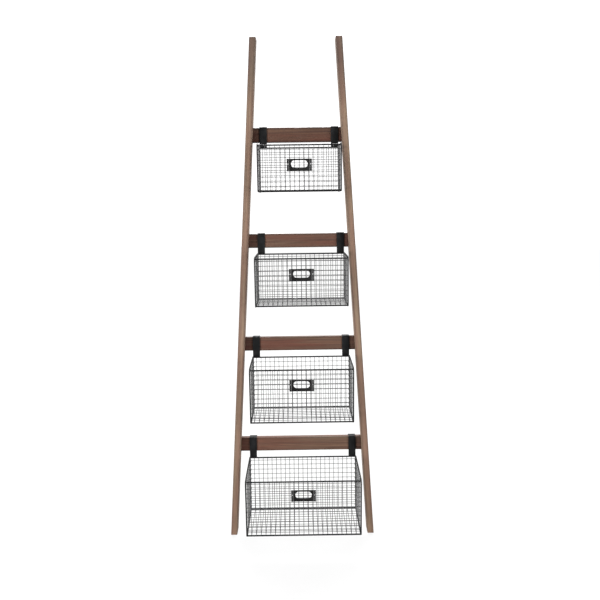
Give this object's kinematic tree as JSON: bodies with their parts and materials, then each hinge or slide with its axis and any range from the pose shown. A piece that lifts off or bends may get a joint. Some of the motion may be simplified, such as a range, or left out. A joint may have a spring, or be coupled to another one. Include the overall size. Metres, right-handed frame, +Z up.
{
  "type": "ladder shelf",
  "caption": "Leaning ladder shelf with stained wooden rails and rungs, and black wire baskets with label holders that hook over the rungs.",
  "frame": {"origin": "on the floor, where the wall that the rails lean on meets it, midway between the two rails", "axes": "+Z up; +Y towards the wall, from the front of the baskets to the rear top edges of the rails, which touch the wall at Y = 0; +X to the right of a person who faces the wall"},
  "size_m": [0.506, 0.341, 1.7042],
  "materials": {
    "rail_wood": "satin",
    "rung_wood": "satin",
    "black_steel": "satin",
    "wire_mesh": "satin",
    "screw_steel": "satin"
  },
  "bodies": {
    "ladder": {"left_rail": "rail_wood", "right_rail": "rail_wood", "rung_1": "rung_wood", "rung_2": "rung_wood", "rung_3": "rung_wood", "rung_4": "rung_wood", "rung_1_screw_left_upper": "screw_steel", "rung_1_screw_left_lower": "screw_steel", "rung_1_screw_right_upper": "screw_steel", "rung_1_screw_right_lower": "screw_steel", "rung_2_screw_left_upper": "screw_steel", "rung_2_screw_left_lower": "screw_steel", "rung_2_screw_right_upper": "screw_steel", "rung_2_screw_right_lower": "screw_steel", "rung_3_screw_left_upper": "screw_steel", "rung_3_screw_left_lower": "screw_steel", "rung_3_screw_right_upper": "screw_steel", "rung_3_screw_right_lower": "screw_steel", "rung_4_screw_left_upper": "screw_steel", "rung_4_screw_left_lower": "screw_steel", "rung_4_screw_right_upper": "screw_steel", "rung_4_screw_right_lower": "screw_steel"},
    "basket_1": {"basket_1_frame": "black_steel", "basket_1_mesh_front": "wire_mesh", "basket_1_mesh_back": "wire_mesh", "basket_1_mesh_left": "wire_mesh", "basket_1_mesh_right": "wire_mesh", "basket_1_mesh_floor": "wire_mesh", "basket_1_label_holder": "black_steel", "basket_1_hook_left": "black_steel", "basket_1_hook_right": "black_steel"},
    "basket_2": {"basket_2_frame": "black_steel", "basket_2_mesh_front": "wire_mesh", "basket_2_mesh_back": "wire_mesh", "basket_2_mesh_left": "wire_mesh", "basket_2_mesh_right": "wire_mesh", "basket_2_mesh_floor": "wire_mesh", "basket_2_label_holder": "black_steel", "basket_2_hook_left": "black_steel", "basket_2_hook_right": "black_steel"},
    "basket_3": {"basket_3_frame": "black_steel", "basket_3_mesh_front": "wire_mesh", "basket_3_mesh_back": "wire_mesh", "basket_3_mesh_left": "wire_mesh", "basket_3_mesh_right": "wire_mesh", "basket_3_mesh_floor": "wire_mesh", "basket_3_label_holder": "black_steel", "basket_3_hook_left": "black_steel", "basket_3_hook_right": "black_steel"},
    "basket_4": {"basket_4_frame": "black_steel", "basket_4_mesh_front": "wire_mesh", "basket_4_mesh_back": "wire_mesh", "basket_4_mesh_left": "wire_mesh", "basket_4_mesh_right": "wire_mesh", "basket_4_mesh_floor": "wire_mesh", "basket_4_label_holder": "black_steel", "basket_4_hook_left": "black_steel", "basket_4_hook_right": "black_steel"}
  },
  "joints": [
    {"name": "basket_1_lift", "type": "slide", "parent": "ladder", "child": "basket_1", "axis": [0, 0.0819, 0.9966], "range_m": [0, 0.03]},
    {"name": "basket_2_lift", "type": "slide", "parent": "ladder", "child": "basket_2", "axis": [0, 0.0819, 0.9966], "range_m": [0, 0.03]},
    {"name": "basket_3_lift", "type": "slide", "parent": "ladder", "child": "basket_3", "axis": [0, 0.0819, 0.9966], "range_m": [0, 0.03]},
    {"name": "basket_4_lift", "type": "slide", "parent": "ladder", "child": "basket_4", "axis": [0, 0.0819, 0.9966], "range_m": [0, 0.03]}
  ]
}
